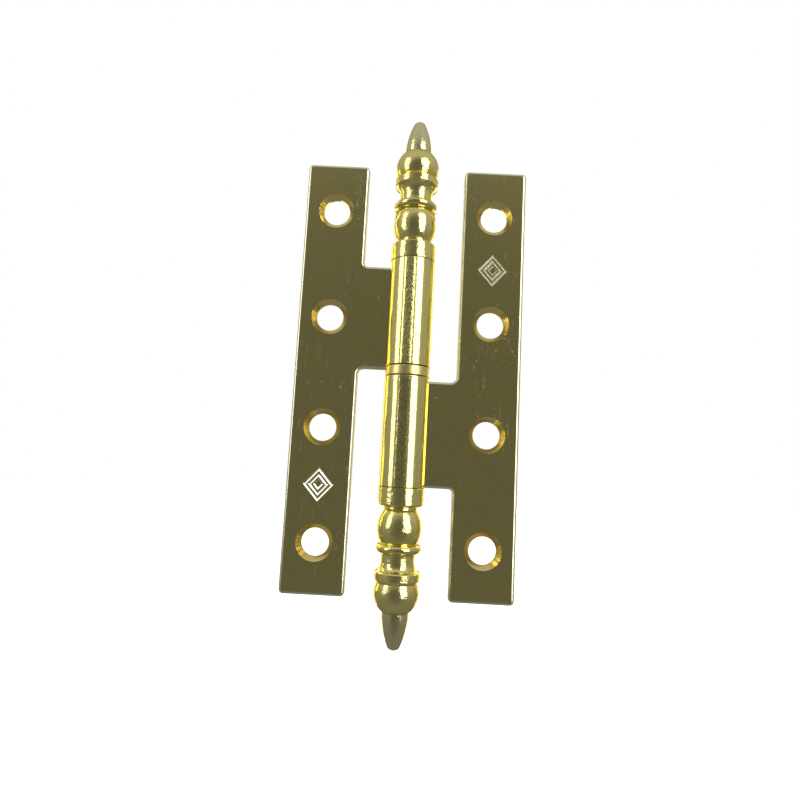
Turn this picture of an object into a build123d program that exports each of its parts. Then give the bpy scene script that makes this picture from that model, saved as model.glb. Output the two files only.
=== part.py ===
from build123d import *
import os
from math import atan, cos, degrees, radians, sin

# Lift-off door hinge with turned finials, millimetres.
# The origin is on the pin axis at mid height of the thrust ring, and +Z points up the pin.
# The hinge is open flat: both leaves lie in the X-Z plane with their countersunk faces towards -Y.
# The frame leaf is at +X with the lower knuckle, and the door leaf is at -X with the upper knuckle.

# Leaves: one stamping, used twice
leaf_length = 140.0
leaf_reach = 36.4  # pin axis to the leaf's outer edge
leaf_inner = 16.0  # pin axis to the leaf's inner edge, above and below the knuckle
plate = 2.5  # sheet thickness
corner_r = 1.4  # the leaf's outer corners
tab_top_r = 1.3  # notch corner beside the finial
tab_ring_r = 2.0  # notch corner beside the thrust ring
punched_edge_r = 1.0  # rounding that the punch leaves round the countersunk face

# Barrel
knuckle_r = 7.0
knuckle_end = 35.5  # from the origin to the knuckle's finial end
ring_height = 3.3
ring_r = 6.95
roll_opening = 53.0  # angle from the leaf's tangent point back to the end of the roll, degrees
roll_end_round = 0.3
ring_round = 0.5

# Screw holes
hole_r = 4.4
countersink_r = 5.87
hole_x = (leaf_reach + leaf_inner) / 2
hole_z = (-54.0, -18.0, 18.0, 54.0)

# Pin, pressed into the lower knuckle and running in the upper one
running_clearance = 0.05
ring_clearance = 0.02
shoulder_below_ring = 0.5  # where the pressed length ends, inside the lower knuckle
pin_top = 27.0
pin_bottom = -27.5
pin_chamfer = 1.0

# Finials: distances d are from the knuckle's end towards the tip
spigot = 7.0  # length pressed into the knuckle's bore
spigot_chamfer = 0.5
collar_chamfer = 0.15
collar_d = 5.55
collar_round = 0.6
neck_r = 5.1
neck_chamfer = 0.3
bulb_d = 12.2  # widest point of the bulb
bulb_r = 6.8
bulb_arc = 10.0  # radius of the bulb's outline
bead_d = 18.2
bead_r = 6.95
bead_round = 1.3
waist_r = 5.08
waist_curve = 1.3  # length of the curve from the bead into the waist
waist_end = 22.4
flare_arc = 2.9
flare_turn = 35.0  # angle to a point on the flare's arc, degrees
shoulder_d = 24.95
band_r = 6.9
band_start = 25.3
band_end = 27.2
groove_d = 28.3
ball_d = 31.3
ball_r = 6.87
cone_d = 36.8
cone_mid = (3.62, 41.6)
cone_end = (1.75, 47.2)
tip_d = 47.9

# Generic stamped emblem: lozenge grooves inside each other, V-shaped, round a sunk lozenge
emblem_z = 36.0
emblem_sizes = ((9.6, 10.8), (6.4, 7.2))  # outlines of the grooves
emblem_core = (3.2, 3.6)
emblem_line = 0.8  # width of a groove
emblem_depth = 0.25
emblem_reach = 0.3  # how far the grooves' slopes are drawn, past the bottom where they meet

bore_r = knuckle_r - plate
front_y = knuckle_r - plate
back_y = knuckle_r
ring_half = ring_height / 2
knuckle_length = knuckle_end - ring_half


def lozenge(width, height):
    return Polygon((width / 2, 0), (0, height / 2), (-width / 2, 0), (0, -height / 2), align=None)


def facing_front(x, y, z):
    """A sketch plane parallel to the leaves whose normal points at -Y."""
    return Plane(origin=(x, y, z), x_dir=(1, 0, 0), z_dir=(0, -1, 0))


def leaf_plate():
    half = leaf_length / 2
    outline = Polygon(
        (leaf_inner, half),
        (leaf_inner, -ring_half),
        (0, -ring_half),
        (0, -knuckle_end),
        (leaf_inner, -knuckle_end),
        (leaf_inner, -half),
        (leaf_reach, -half),
        (leaf_reach, half),
        align=None,
    )
    outline = fillet(outline.vertices().sort_by_distance((leaf_inner, -knuckle_end))[:1], tab_top_r)
    outline = fillet(outline.vertices().sort_by_distance((leaf_inner, -ring_half))[:1], tab_ring_r)
    outline = fillet(outline.vertices().filter_by(lambda v: abs(abs(v.Y) - half) < 0.01), corner_r)
    blank = extrude(facing_front(0, back_y, 0) * outline, amount=plate)
    rim = blank.faces().sort_by(Axis.Y)[0].outer_wire().edges()
    return fillet(rim.filter_by(lambda e: e.center().X > 0.01), punched_edge_r)


def knuckle():
    """The sheet rolled round the pin, open by a narrow seam where its end meets the leaf's front face."""
    start = 90 - roll_opening
    far = 2 * knuckle_r
    missing = Polygon(
        (0, 0),
        (far * cos(radians(start)), far * sin(radians(start))),
        (far, far),
        (0, far),
        align=None,
    )
    section = Circle(knuckle_r) - Circle(bore_r) - missing
    roll = extrude(section, amount=knuckle_length)
    ends = roll.edges().filter_by(GeomType.CIRCLE).filter_by(lambda e: e.radius > knuckle_r - 0.01)
    return Pos(0, 0, -knuckle_end) * fillet(ends, roll_end_round)


def screw_cutter(z):
    """A countersunk through hole, entered from the front face."""
    sink = countersink_r - hole_r
    through = Cylinder(hole_r, 3 * plate)
    cone = Pos(0, 0, plate / 2 - sink / 2) * Cone(hole_r, countersink_r, sink)
    middle = facing_front(hole_x, (front_y + back_y) / 2, z)
    return middle * (through + cone)


def emblem_cutter():
    """Each groove is a sunk lozenge less the smaller one that rises inside it."""
    surface = facing_front(hole_x, front_y, emblem_z)
    slope = degrees(atan(emblem_line / 2 / emblem_depth))
    cutter = extrude(surface * lozenge(*emblem_core), amount=-emblem_depth, taper=slope)
    for width, height in emblem_sizes:
        half_across = width * height / 2 / (width**2 + height**2) ** 0.5
        inner = 1 - emblem_line / half_across
        outside = surface * lozenge(width, height)
        inside = surface * lozenge(width * inner, height * inner)
        sunk = extrude(outside, amount=-emblem_reach, taper=slope)
        island = extrude(inside, amount=-emblem_reach, taper=-slope)
        cutter += sunk - island
    return cutter


def leaf():
    """The frame leaf. Turned half a turn about Y, it is the door leaf."""
    body = leaf_plate() + knuckle()
    for z in hole_z:
        body -= screw_cutter(z)
    return body - emblem_cutter()


def hinge_pin():
    journal_r = bore_r - running_clearance
    shoulder = -ring_half - shoulder_below_ring
    pressed = Pos(0, 0, pin_bottom) * Cylinder(
        bore_r, shoulder - pin_bottom, align=(Align.CENTER, Align.CENTER, Align.MIN)
    )
    journal = Pos(0, 0, shoulder) * Cylinder(
        journal_r, pin_top - shoulder, align=(Align.CENTER, Align.CENTER, Align.MIN)
    )
    pin = pressed + journal
    ends = [pin.edges().sort_by(Axis.Z)[0], pin.edges().sort_by(Axis.Z)[-1]]
    return chamfer(ends, pin_chamfer)


def thrust_ring():
    ring = Cylinder(ring_r, ring_height) - Cylinder(bore_r + ring_clearance, ring_height)
    outer = ring.edges().filter_by(GeomType.CIRCLE).filter_by(lambda e: e.radius > ring_r - 0.01)
    return fillet(outer, ring_round)


def circle_r(centre, radius, d):
    """Distance from the pin axis of a circle's outer side, d along the axis."""
    return centre[0] + (radius**2 - (d - centre[1]) ** 2) ** 0.5


def heading(centre, point):
    """Direction of travel towards the tip, at a point on a circle round the centre."""
    return (centre[1] - point[1], point[0] - centre[0])


def finial():
    """The upper finial, turned in one piece with the spigot that holds it in the knuckle."""
    bulb_centre = (bulb_r - bulb_arc, bulb_d)
    bulb_start = (neck_r, bulb_d - (bulb_arc**2 - (neck_r - bulb_centre[0]) ** 2) ** 0.5)
    bead_low = bead_d - bead_round
    bead_high = bead_d + bead_round
    bead_inner = bead_r - bead_round
    bulb_end = (circle_r(bulb_centre, bulb_arc, bead_low), bead_low)
    waist_start = (waist_r, bead_high + waist_curve)
    flare_centre = (waist_r + flare_arc, waist_end)
    turn = radians(flare_turn)
    flare_mid = (flare_centre[0] - flare_arc * cos(turn), waist_end + flare_arc * sin(turn))
    flare_end = (2 * flare_centre[0] - circle_r(flare_centre, flare_arc, shoulder_d), shoulder_d)
    ball_start = (circle_r((0, ball_d), ball_r, groove_d), groove_d)
    ball_end = (circle_r((0, ball_d), ball_r, cone_d), cone_d)
    tip_rise = tip_d - cone_end[1]
    tip_arc = (cone_end[0] ** 2 + tip_rise**2) / (2 * tip_rise)
    tip_mid = (cone_end[0] / 2, circle_r((tip_d - tip_arc, 0), tip_arc, cone_end[0] / 2))
    collar_turn = collar_round * (1 - cos(radians(45)))

    with BuildPart() as body:
        with BuildSketch(Plane.XZ):
            with BuildLine():
                Polyline(
                    (0, -spigot),
                    (bore_r - spigot_chamfer, -spigot),
                    (bore_r, -spigot + spigot_chamfer),
                    (bore_r, 0),
                    (knuckle_r - collar_chamfer, 0),
                    (knuckle_r, collar_chamfer),
                    (knuckle_r, collar_d - collar_round),
                )
                ThreePointArc(
                    (knuckle_r, collar_d - collar_round),
                    (knuckle_r - collar_turn, collar_d - collar_turn),
                    (knuckle_r - collar_round, collar_d),
                )
                Polyline(
                    (knuckle_r - collar_round, collar_d),
                    (neck_r + neck_chamfer, collar_d),
                    (neck_r, collar_d + neck_chamfer),
                    bulb_start,
                )
                Spline(
                    bulb_start,
                    (bulb_r, bulb_d),
                    bulb_end,
                    tangents=[heading(bulb_centre, bulb_start), heading(bulb_centre, bulb_end)],
                )
                Line(bulb_end, (bead_inner, bead_low))
                ThreePointArc((bead_inner, bead_low), (bead_r, bead_d), (bead_inner, bead_high))
                Spline((bead_inner, bead_high), waist_start, tangents=[(-1, 0), (0, 1)])
                Line(waist_start, (waist_r, waist_end))
                ThreePointArc((waist_r, waist_end), flare_mid, flare_end)
                Polyline(flare_end, (band_r, band_start), (band_r, band_end), ball_start)
                ThreePointArc(ball_start, (ball_r, ball_d), ball_end)
                Spline(ball_end, cone_mid, cone_end)
                ThreePointArc(cone_end, tip_mid, (0, tip_d))
                Line((0, tip_d), (0, -spigot))
            make_face()
        revolve(axis=Axis.Z)
    return Pos(0, 0, knuckle_end) * body.part


frame_leaf = leaf()
upper_finial = finial()
turned_over = Rot(0, 180, 0)
parts = {
    "frame_leaf": frame_leaf,
    "door_leaf": turned_over * frame_leaf,
    "hinge_pin": hinge_pin(),
    "thrust_ring": thrust_ring(),
    "upper_finial": upper_finial,
    "lower_finial": turned_over * upper_finial,
}

os.makedirs("parts", exist_ok=True)
for name, shape in parts.items():
    export_step(shape, f"parts/{name}.step")
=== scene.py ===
from math import pi, radians, tan

import bpy
from mathutils import Euler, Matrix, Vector

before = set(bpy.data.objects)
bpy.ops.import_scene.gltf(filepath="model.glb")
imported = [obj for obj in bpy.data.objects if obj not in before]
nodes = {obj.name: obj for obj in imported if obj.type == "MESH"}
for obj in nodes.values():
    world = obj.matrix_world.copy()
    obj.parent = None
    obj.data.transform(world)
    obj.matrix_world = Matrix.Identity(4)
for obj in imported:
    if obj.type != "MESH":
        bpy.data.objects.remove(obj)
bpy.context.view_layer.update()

scene = bpy.context.scene

# Brass plating reflects red and green strongly and blue weakly, less so at grazing angles
PLATING = (0.93, 0.81, 0.29)
PLATING_GRAZING = (0.95, 0.80, 0.42)
TURNING_GRAZING = (0.84, 0.70, 0.38)
RING_GRAZING = (0.9, 0.78, 0.5)
STEEL_GRAZING = (0.9, 0.9, 0.9)
WORN = (0.93, 0.88, 0.62)
# Painted shade along the seams where the knuckles meet the finials and the ring
SEAM_SHADE = (0.16, 0.11, 0.04)

# Places on the hinge, in mm from the middle of the thrust ring
KNUCKLE_RADIUS = 7.0
KNUCKLE_END = 35.5
RING_HALF = 1.65
FRONT_Y = 4.5  # the leaves' countersunk face
BACK_Y = 7.0
HOLE_X = 26.2
HOLE_PAIR_Z = 36.0  # middle of each pair of holes
HOLE_FROM_PAIR = 18.0
COUNTERSINK_RADIUS = 5.87


# --- Node helpers ---------------------------------------------------------------------------------

class Graph:
    """Short-hand for building a node tree."""

    def __init__(self, tree):
        self.nodes = tree.nodes
        self.links = tree.links

    def put(self, socket, value):
        if isinstance(value, bpy.types.NodeSocket):
            self.links.new(value, socket)
        else:
            socket.default_value = value

    def add(self, kind, inputs=None, **settings):
        node = self.nodes.new(kind)
        for name, value in settings.items():
            setattr(node, name, value)
        for name, value in (inputs or {}).items():
            self.put(node.inputs[name], value)
        return node

    def math(self, operation, a, b=0.0, c=0.0):
        return self.add("ShaderNodeMath", {0: a, 1: b, 2: c}, operation=operation).outputs[0]

    def total(self, *values):
        result = values[0]
        for value in values[1:]:
            result = self.math("ADD", result, value)
        return result

    def product(self, *values):
        result = values[0]
        for value in values[1:]:
            result = self.math("MULTIPLY", result, value)
        return result

    def size(self, value):
        return self.math("ABSOLUTE", value)

    def minus(self, a, b):
        return self.math("SUBTRACT", a, b)

    def length(self, a, b):
        return self.math("SQRT", self.total(self.product(a, a), self.product(b, b)))

    def step(self, value, low, high):
        """0 at low, 1 at high, smooth between; low may be the larger."""
        inputs = {"Value": value, "From Min": low, "From Max": high}
        return self.add("ShaderNodeMapRange", inputs, interpolation_type="SMOOTHSTEP").outputs["Result"]

    def blend(self, factor, a, b):
        """A number between a and b."""
        return self.add("ShaderNodeMix", {"Factor": factor, 2: a, 3: b}).outputs[0]

    def mix(self, factor, a, b):
        """A colour between a and b."""
        return self.add("ShaderNodeMix", {0: factor, 6: a, 7: b}, data_type="RGBA").outputs[2]

    def vector(self, operation, a, b):
        return self.add("ShaderNodeVectorMath", {0: a, 1: b}, operation=operation).outputs[0]

    def noise(self, where, scale, detail=2.0, roughness=0.5):
        inputs = {"Vector": where, "Scale": scale, "Detail": detail, "Roughness": roughness}
        return self.add("ShaderNodeTexNoise", inputs).outputs[0]


def rgba(colour):
    return (*colour, 1.0)


# --- Studio: camera, surroundings, soft boxes, floor -----------------------------------------------

def make_camera():
    data = bpy.data.cameras.new("camera")
    data.lens = 26.1
    data.sensor_width = 36.0
    data.clip_start = 0.001
    camera = bpy.data.objects.new("camera", data)
    camera.location = (0.0002, -0.1794, -0.0297)
    camera.rotation_euler = Euler((radians(90 + 6.68), 0, radians(0.65)), "XYZ")
    roll = Euler((0, 0, radians(3.02)), "XYZ").to_matrix().to_4x4()
    camera.matrix_world = camera.matrix_basis @ roll
    scene.collection.objects.link(camera)
    scene.camera = camera


def surroundings():
    """White to look at; the metal mirrors plain grey, paler overhead and dark towards the camera."""
    world = bpy.data.worlds.new("studio")
    scene.world = world
    world.use_nodes = True
    g = Graph(world.node_tree)
    g.nodes.clear()
    direction = g.add("ShaderNodeTexCoord").outputs["Generated"]
    along, up = g.add("ShaderNodeSeparateXYZ", {0: direction}).outputs[1:]
    elevation = g.product(g.math("ARCSINE", up), 180 / pi)
    room = g.mix(g.step(elevation, -40, 60), rgba((0.2, 0.2, 0.2)), rgba((0.5, 0.5, 0.5)))
    room = g.mix(g.step(g.product(along, -1.0), 0.5, 1.0), room, rgba((0.12, 0.12, 0.12)))

    path = g.add("ShaderNodeLightPath").outputs
    mirrored = g.add("ShaderNodeBackground", {"Color": room, "Strength": 1.0})
    seen = g.add("ShaderNodeBackground", {"Color": rgba((1, 1, 1))})
    inputs = {0: path["Is Camera Ray"], 1: mirrored.outputs[0], 2: seen.outputs[0]}
    g.add("ShaderNodeOutputWorld", {"Surface": g.add("ShaderNodeMixShader", inputs).outputs[0]})


def soft_box(name, azimuth, elevation, width, height, radiance):
    """A rectangular light that faces the hinge from a metre away, its place and size in degrees."""
    data = bpy.data.lights.new(name, "AREA")
    data.shape = "RECTANGLE"
    data.size = 2 * tan(radians(width / 2))
    data.size_y = 2 * tan(radians(height / 2))
    data.energy = radiance * pi * data.size * data.size_y
    lamp = bpy.data.objects.new(name, data)
    lamp.rotation_euler = Euler((radians(90 - elevation), 0, radians(azimuth)), "XYZ")
    lamp.location = lamp.rotation_euler.to_matrix() @ Vector((0, 0, 1))
    lamp.visible_camera = False
    scene.collection.objects.link(lamp)


def make_floor():
    """Low enough that it never comes between the hinge and a camera below it."""
    bpy.ops.mesh.primitive_plane_add(size=8.0, location=(0, 0, -0.26))
    floor = bpy.context.object
    floor.name = "floor"
    material = bpy.data.materials.new("pale_floor")
    material.use_nodes = True
    shader = material.node_tree.nodes["Principled BSDF"]
    shader.inputs["Base Color"].default_value = rgba((0.8, 0.8, 0.8))
    shader.inputs["Roughness"].default_value = 0.9
    shader.inputs["Emission Color"].default_value = rgba((1, 1, 1))
    shader.inputs["Emission Strength"].default_value = 1.0
    floor.data.materials.append(material)
    floor.visible_glossy = False


make_camera()
surroundings()
soft_box("key_right", 40, 15, 30, 60, 3.0)
soft_box("fill_left", -60, 20, 20, 50, 2.0)
soft_box("back_right", 150, 0, 20, 60, 1.5)
soft_box("back_left", -150, 0, 20, 60, 1.5)
make_floor()


# --- Metal ------------------------------------------------------------------------------------------

class Metal(Graph):
    """A metal whose colour, roughness and relief are worked out from the place on the part, in mm."""

    def __init__(self, name):
        self.material = bpy.data.materials.new(name)
        self.material.use_nodes = True
        super().__init__(self.material.node_tree)
        self.shader = self.nodes["Principled BSDF"]
        self.shader.inputs["Metallic"].default_value = 1.0
        place = self.add("ShaderNodeTexCoord").outputs
        self.place = self.vector("MULTIPLY", place["Object"], (1000, 1000, 1000))
        self.x, self.y, self.z = self.add("ShaderNodeSeparateXYZ", {0: self.place}).outputs
        self.facing = self.add("ShaderNodeSeparateXYZ", {0: place["Normal"]}).outputs
        self.radius = self.length(self.x, self.y)

    def finish(self, colour, roughness, relief, grazing):
        """relief is in micrometres"""
        bump = self.add("ShaderNodeBump", {"Height": relief, "Distance": 1e-6, "Strength": 1.0})
        self.put(self.shader.inputs["Base Color"], colour)
        self.put(self.shader.inputs["Roughness"], roughness)
        self.put(self.shader.inputs["Normal"], bump.outputs[0])
        self.shader.inputs["Specular Tint"].default_value = rgba(grazing)
        return self.material

    def around(self, squash):
        """Coordinates that run slowly round the axis, for marks left by turning."""
        angle = self.product(self.math("ARCTAN2", self.y, self.x), squash)
        return self.add("ShaderNodeCombineXYZ", {0: angle, 1: self.radius, 2: self.z}).outputs[0]

    def hairlines(self, turn, spacing, width, sparse, seed):
        """Thin curved scratches: the level lines of a stretched noise, broken up by another."""
        inputs = {"Vector": self.place, "Rotation": (0, radians(turn), 0), "Scale": (1, 1, 0.16)}
        drawn_out = self.add("ShaderNodeMapping", {**inputs, "Location": (seed, seed, seed)}).outputs[0]
        level = self.size(self.minus(self.noise(drawn_out, spacing, 1.0), 0.5))
        broken = self.step(self.noise(drawn_out, 3.1 * spacing, 1.0), sparse, sparse + 0.05)
        return self.product(self.step(level, width, 0.3 * width), broken)

    def nicks(self, spacing, size, share):
        """Small pits, on a share of the cells of a grid."""
        inputs = {"Vector": self.place, "Scale": 1 / spacing}
        cells = self.add("ShaderNodeTexVoronoi", inputs)
        red = self.add("ShaderNodeSeparateColor", {0: cells.outputs["Color"]}).outputs[0]
        picked = self.step(red, share, 0.6 * share)
        pit = self.step(cells.outputs["Distance"], size / spacing, 0.3 * size / spacing)
        return self.product(pit, picked)


def leaf_metal():
    m = Metal("plated_leaf")
    barrel = m.step(m.radius, KNUCKLE_RADIUS + 0.16, KNUCKLE_RADIUS + 0.04)
    from_pair = m.size(m.minus(m.size(m.z), HOLE_PAIR_Z))
    from_hole = m.length(m.minus(m.size(m.x), HOLE_X), m.minus(from_pair, HOLE_FROM_PAIR))
    behind_face = m.step(m.y, FRONT_Y + 0.02, FRONT_Y + 0.1)
    before_back = m.step(m.y, BACK_Y - 0.02, BACK_Y - 0.1)
    in_hole = m.step(from_hole, COUNTERSINK_RADIUS + 0.13, COUNTERSINK_RADIUS - 0.01)
    sink = m.product(in_hole, behind_face, before_back)
    # rim marks the leaves' edges, which get a painted highlight below
    turned_away = m.product(m.step(m.facing[1], -0.999, -0.96), m.step(m.y, BACK_Y - 0.1, BACK_Y - 0.4))
    rim = m.product(turned_away, m.minus(1.0, barrel), m.step(from_hole, 5.8, 6.1))

    smudge = m.noise(m.place, 0.11, 3.0, 0.6)
    cloudy = m.step(smudge, 0.42, 0.72)
    peel = m.noise(m.place, 1.0, 2.0, 0.6)
    # The front of the knuckles is mottled, rougher and more dimpled on the upper one; its dark speckled
    # colour is partly mottled plating and partly painted shade, a painted dark reflection between the
    # bright lines, darker on the lower one
    angle = m.math("ARCTAN2", m.x, m.product(m.y, -1.0))
    front = m.product(m.step(angle, -0.36, -0.28), m.step(angle, 0.16, 0.02))
    upper = m.step(m.z, -3.0, 3.0)
    hammered = m.product(barrel, m.blend(front, 25.0, m.blend(upper, 90.0, 200.0)))
    speckle = m.step(m.noise(m.place, 1.7, 2.0, 0.6), 0.46, 0.56)
    mottle_and_painted_shade = m.product(front, barrel, speckle)
    sway = m.noise(m.place, 0.16, 1.0)
    lines = m.total(
        m.hairlines(20, 0.26, 0.006, 0.53, 0.0),
        m.hairlines(-35, 0.31, 0.006, 0.54, 40.0),
        m.hairlines(75, 0.29, 0.006, 0.54, 90.0),
        m.hairlines(5, 0.42, 0.008, 0.56, 140.0),
    )
    handled = m.step(m.noise(m.place, 0.07, 2.0), 0.38, 0.60)
    frame_half = m.step(m.x, -4, 4)
    handled = m.product(handled, m.blend(frame_half, 1.0, 0.55))
    ends = m.step(m.size(m.z), 61.0, 70.0)
    scuffed = m.product(ends, m.step(m.noise(m.place, 0.3, 4.0, 0.7), 0.44, 0.60))
    tab = m.step(m.size(m.x), 19.0, 14.0)
    dusty = m.total(m.product(tab, 0.8), m.product(handled, 0.3))
    dust = m.product(m.nicks(0.9, 0.11, 0.35), m.product(dusty, m.blend(frame_half, 1.0, 0.4)))
    specks = m.total(m.nicks(3.1, 0.15, 0.22), m.nicks(1.3, 0.07, 0.14), dust)
    scratched = m.product(lines, m.total(handled, 0.12))
    wear = m.math("MINIMUM", m.total(scratched, m.product(specks, 0.7)), 1.0)
    finial_seam = m.step(m.size(m.z), KNUCKLE_END - 0.24, KNUCKLE_END - 0.04)
    ring_seam = m.step(m.size(m.z), RING_HALF + 0.19, RING_HALF + 0.03)
    seam = m.math("MAXIMUM", finial_seam, ring_seam)
    seam_shade = m.product(seam, barrel)

    tone = m.mix(m.step(m.noise(m.place, 0.3, 3.0), 0.3, 0.75), rgba(PLATING), rgba((0.88, 0.80, 0.33)))
    grain = m.step(m.noise(m.place, 1.1, 3.0, 0.65), 0.36, 0.62)
    tone = m.mix(m.product(grain, 0.2), tone, rgba((0.62, 0.56, 0.20)))
    # Painted shade: a dark speckled band on the front of the knuckles, partly mottled plating, partly a
    # painted dark reflection
    tone = m.mix(m.product(mottle_and_painted_shade, m.blend(upper, 0.35, 0.15)), tone, rgba((0.30, 0.27, 0.09)))
    tone = m.mix(m.product(sink, 0.85), tone, rgba((0.93, 0.74, 0.27)))
    # Painted highlight: the leaves' rolled edges are painted pale, as if catching light from the sides
    tone = m.mix(m.product(rim, 0.9), tone, rgba((0.90, 0.88, 0.68)))
    tone = m.mix(m.product(wear, 0.5), tone, rgba(WORN))
    # Painted shade: dark lines on the knuckles at their seams with the finials and the ring
    tone = m.mix(m.product(seam_shade, 0.85), tone, rgba(SEAM_SHADE))

    roughness = m.blend(barrel, m.math("MULTIPLY_ADD", cloudy, 0.03, 0.05), 0.14)
    roughness = m.blend(m.product(barrel, front, upper), roughness, m.blend(speckle, 0.16, 0.36))
    roughness = m.blend(scuffed, roughness, 0.15)
    roughness = m.blend(sink, roughness, 0.18)
    roughness = m.blend(rim, roughness, 0.24)
    roughness = m.blend(wear, roughness, 0.34)

    relief = m.total(
        m.product(sway, 14.0),
        m.product(peel, m.total(0.4, hammered)),
        m.product(wear, -1.2),
        m.product(specks, -25.0),
    )
    return m.finish(tone, roughness, relief, PLATING_GRAZING)


def turned_metal():
    m = Metal("plated_turning")
    peel = m.noise(m.place, 0.9, 2.0, 0.6)
    marks = m.noise(m.around(0.4), 2.4, 2.0, 0.6)
    sway = m.noise(m.place, 0.4, 1.0)
    specks = m.nicks(1.7, 0.12, 0.25)
    tone = m.mix(m.step(m.noise(m.place, 0.35, 3.0), 0.3, 0.75), rgba(PLATING), rgba((0.88, 0.79, 0.31)))
    tone = m.mix(m.product(specks, 0.5), tone, rgba(WORN))
    tip = m.step(m.size(m.z), 64, 80)
    tone = m.mix(m.product(tip, 0.65), tone, rgba((0.74, 0.70, 0.48)))
    # Painted shade: a dark line on the finial where it meets the knuckle
    seam_shade = m.step(m.size(m.z), KNUCKLE_END + 0.12, KNUCKLE_END + 0.02)
    tone = m.mix(m.product(seam_shade, 0.8), tone, rgba(SEAM_SHADE))
    roughness = m.math("MULTIPLY_ADD", m.step(sway, 0.3, 0.8), 0.05, 0.10)
    relief = m.total(
        m.product(peel, 95.0),
        m.product(marks, 10.0),
        m.product(sway, 60.0),
        m.product(specks, -8.0),
    )
    return m.finish(tone, roughness, relief, TURNING_GRAZING)


def ring_metal():
    m = Metal("ring_brass")
    marks = m.noise(m.around(0.5), 5.0, 3.0, 0.7)
    stain = m.noise(m.place, 0.5, 3.0, 0.6)
    tone = m.mix(m.step(stain, 0.35, 0.7), rgba((0.94, 0.78, 0.31)), rgba((0.86, 0.68, 0.25)))
    # Painted shade: the ring's edges next to the knuckles are painted nearly black
    ring_edge_shade = m.step(m.size(m.z), 1.25, 1.6)
    tone = m.mix(m.product(ring_edge_shade, 0.8), tone, rgba((0.24, 0.15, 0.05)))
    roughness = m.math("MULTIPLY_ADD", marks, 0.12, 0.28)
    return m.finish(tone, roughness, m.product(marks, 3.0), RING_GRAZING)


def pin_metal():
    m = Metal("pin_steel")
    marks = m.noise(m.around(0.3), 4.0, 3.0, 0.7)
    stain = m.noise(m.place, 0.25, 3.0, 0.6)
    tone = m.mix(m.step(stain, 0.35, 0.7), rgba((0.62, 0.62, 0.60)), rgba((0.50, 0.48, 0.44)))
    roughness = m.math("MULTIPLY_ADD", marks, 0.16, 0.18)
    return m.finish(tone, roughness, m.product(marks, 2.5), STEEL_GRAZING)


def dress(material, *names):
    for name in names:
        for slot in nodes[name].material_slots:
            slot.material = material


dress(leaf_metal(), "frame_leaf", "door_leaf")
dress(turned_metal(), "upper_finial", "lower_finial")
dress(ring_metal(), "thrust_ring")
dress(pin_metal(), "hinge_pin")

scene.view_settings.view_transform = "Standard"
